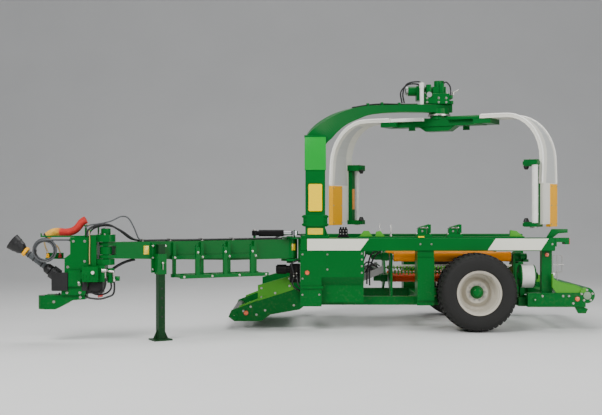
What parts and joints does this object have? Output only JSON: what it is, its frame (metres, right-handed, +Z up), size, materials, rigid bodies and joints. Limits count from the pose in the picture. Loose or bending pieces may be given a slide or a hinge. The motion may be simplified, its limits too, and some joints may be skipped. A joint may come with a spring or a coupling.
{
  "type": "bale wrapper",
  "caption": "Towed square bale wrapper with twin rotating film arms under a curved overhead arch, offset swinging drawbar, stand leg, film roll rack, wheels, infeed and tail tables.",
  "frame": {"origin": "on the ground, under the middle of the machine's outline", "axes": "+X to the rear, along the direction of travel reversed; +Y to the machine's right; +Z up"},
  "size_m": [7.7232, 3.8702, 3.55],
  "materials": {
    "green_paint": "satin",
    "white_paint": "satin",
    "yellow_paint": "satin",
    "black_paint": "satin",
    "tyre": "satin",
    "bare_steel": "satin",
    "rim_silver": "satin",
    "orange_paint": "satin",
    "sleeve_red": "matte"
  },
  "bodies": {
    "chassis": {"side_beam_left": "green_paint", "front_panel_left": "green_paint", "lower_rail_left": "green_paint", "mid_post_left": "green_paint", "side_beam_right": "green_paint", "front_panel_right": "green_paint", "lower_rail_right": "green_paint", "mid_post_right": "green_paint", "front_cross_member": "green_paint", "mid_cross_member": "green_paint", "rear_frame": "green_paint", "axle": "green_paint", "conveyor_bed": "bare_steel", "roller_cradle_front": "green_paint", "roller_cradle_rear": "green_paint", "arch_tower": "green_paint", "arch_beam": "green_paint", "satellite_drive": "green_paint", "swing_bracket": "green_paint", "film_cutters": "green_paint", "rear_light_bracket": "green_paint", "roller_drive_drum": "green_paint"},
    "upper_roller_left": {"upper_roller_left": "yellow_paint"},
    "lower_roller_left": {"lower_roller_left": "orange_paint"},
    "upper_roller_right": {"upper_roller_right": "yellow_paint"},
    "lower_roller_right": {"lower_roller_right": "orange_paint"},
    "wheel_left": {"rim_left": "rim_silver", "tyre_left": "tyre"},
    "wheel_right": {"rim_right": "rim_silver", "tyre_right": "tyre"},
    "satellite": {"satellite_beam": "green_paint", "film_arm_front": "white_paint", "arm_cover_front": "yellow_paint", "film_dispenser_front": "green_paint", "film_arm_rear": "white_paint", "arm_cover_rear": "yellow_paint", "film_dispenser_rear": "green_paint"},
    "stretch_roller_front": {"stretch_roller_front": "white_paint"},
    "stretch_roller_rear": {"stretch_roller_rear": "white_paint"},
    "drawbar": {"drawbar_beam": "green_paint", "film_roll_rack": "green_paint", "leg_sleeve": "green_paint"},
    "stand_leg": {"stand_leg": "green_paint"},
    "swing_cylinder": {"swing_cylinder_barrel": "black_paint"},
    "swing_rod": {"swing_cylinder_rod": "bare_steel"},
    "hitch_head": {"head_pivot_block": "green_paint", "hitch_neck": "green_paint", "hitch_bar": "green_paint", "hydraulic_pump": "green_paint", "shaft_gearbox": "black_paint", "hose_stand": "green_paint", "hose_bundle": "sleeve_red", "cable_coil": "black_paint", "cable_lead": "black_paint"},
    "drive_shaft": {"drive_shaft": "black_paint"},
    "infeed": {"infeed_table": "green_paint"},
    "infeed_roller": {"infeed_roller": "bare_steel"},
    "tail": {"tail_frame": "green_paint"},
    "tail_roller": {"tail_roller": "bare_steel"}
  },
  "joints": [
    {"name": "wheel_left_turn", "type": "hinge", "parent": "chassis", "child": "wheel_left", "pos_m": [2.22659, -0.53985, 0.535], "axis": [0, 1, 0], "continuous": true},
    {"name": "wheel_right_turn", "type": "hinge", "parent": "chassis", "child": "wheel_right", "pos_m": [2.22659, 1.66015, 0.535], "axis": [0, 1, 0], "continuous": true},
    {"name": "satellite_turn", "type": "hinge", "parent": "chassis", "child": "satellite", "pos_m": [1.86059, 0.56015, 3.01], "axis": [0, 0, 1], "continuous": true},
    {"name": "stretch_roller_front_turn", "type": "hinge", "parent": "satellite", "child": "stretch_roller_front", "pos_m": [0.70727, 1.72254, 1.8775], "axis": [0, 0, 1], "continuous": true},
    {"name": "stretch_roller_rear_turn", "type": "hinge", "parent": "satellite", "child": "stretch_roller_rear", "pos_m": [3.01391, -0.60224, 1.8775], "axis": [0, 0, 1], "continuous": true},
    {"name": "upper_roller_left_turn", "type": "hinge", "parent": "chassis", "child": "upper_roller_left", "pos_m": [1.94909, -0.13985, 1], "axis": [1, 0, 0], "continuous": true},
    {"name": "upper_roller_right_turn", "type": "hinge", "parent": "chassis", "child": "upper_roller_right", "pos_m": [1.94909, 1.26015, 1], "axis": [1, 0, 0], "continuous": true},
    {"name": "lower_roller_left_turn", "type": "hinge", "parent": "chassis", "child": "lower_roller_left", "pos_m": [1.94909, 0.14015, 0.68], "axis": [1, 0, 0], "continuous": true},
    {"name": "lower_roller_right_turn", "type": "hinge", "parent": "chassis", "child": "lower_roller_right", "pos_m": [1.94909, 0.98015, 0.68], "axis": [1, 0, 0], "continuous": true},
    {"name": "drawbar_swing", "type": "hinge", "parent": "chassis", "child": "drawbar", "pos_m": [-0.32841, -0.38985, 1.255], "axis": [0, 0, 1], "range_deg": [-50, 5]},
    {"name": "leg_slide", "type": "slide", "parent": "drawbar", "child": "stand_leg", "axis": [0, 0, 1], "range_m": [0, 0.5]},
    {"name": "head_turn", "type": "hinge", "parent": "drawbar", "child": "hitch_head", "pos_m": [-2.62338, -1.71485, 0.985], "axis": [0, 0, 1], "range_deg": [-20, 55]},
    {"name": "drive_shaft_turn", "type": "hinge", "parent": "hitch_head", "child": "drive_shaft", "pos_m": [-3.46297, -1.71485, 1.01055], "axis": [-0.7986, 0, 0.6018], "continuous": true},
    {"name": "swing_cylinder_turn", "type": "hinge", "parent": "drawbar", "child": "swing_cylinder", "pos_m": [-0.80473, -0.66485, 1.342], "axis": [0, 0, 1], "range_deg": [-0.94, 7.64]},
    {"name": "swing_rod_slide", "type": "slide", "parent": "swing_cylinder", "child": "swing_rod", "axis": [0.9905, 0.1372, 0], "range_m": [-0.0166, 0.1619]},
    {"name": "infeed_tilt", "type": "hinge", "parent": "chassis", "child": "infeed", "pos_m": [-0.11341, 0.56015, 0.42], "axis": [0, 1, 0], "range_deg": [-5, 10]},
    {"name": "infeed_roller_turn", "type": "hinge", "parent": "infeed", "child": "infeed_roller", "pos_m": [-1.10341, 0.56015, 0.19], "axis": [0, 1, 0], "continuous": true},
    {"name": "tail_tilt", "type": "hinge", "parent": "chassis", "child": "tail", "pos_m": [3.02659, 0.56015, 0.43], "axis": [0, -1, 0], "range_deg": [-12, 25]},
    {"name": "tail_roller_turn", "type": "hinge", "parent": "tail", "child": "tail_roller", "pos_m": [3.75659, 0.56015, 0.487], "axis": [0, 1, 0], "continuous": true}
  ],
  "couplings": [
    {"joint": "swing_cylinder_turn", "follows": "drawbar_swing", "ratio": -0.1488},
    {"joint": "swing_rod_slide", "follows": "drawbar_swing", "m_per_rad": -0.185}
  ]
}
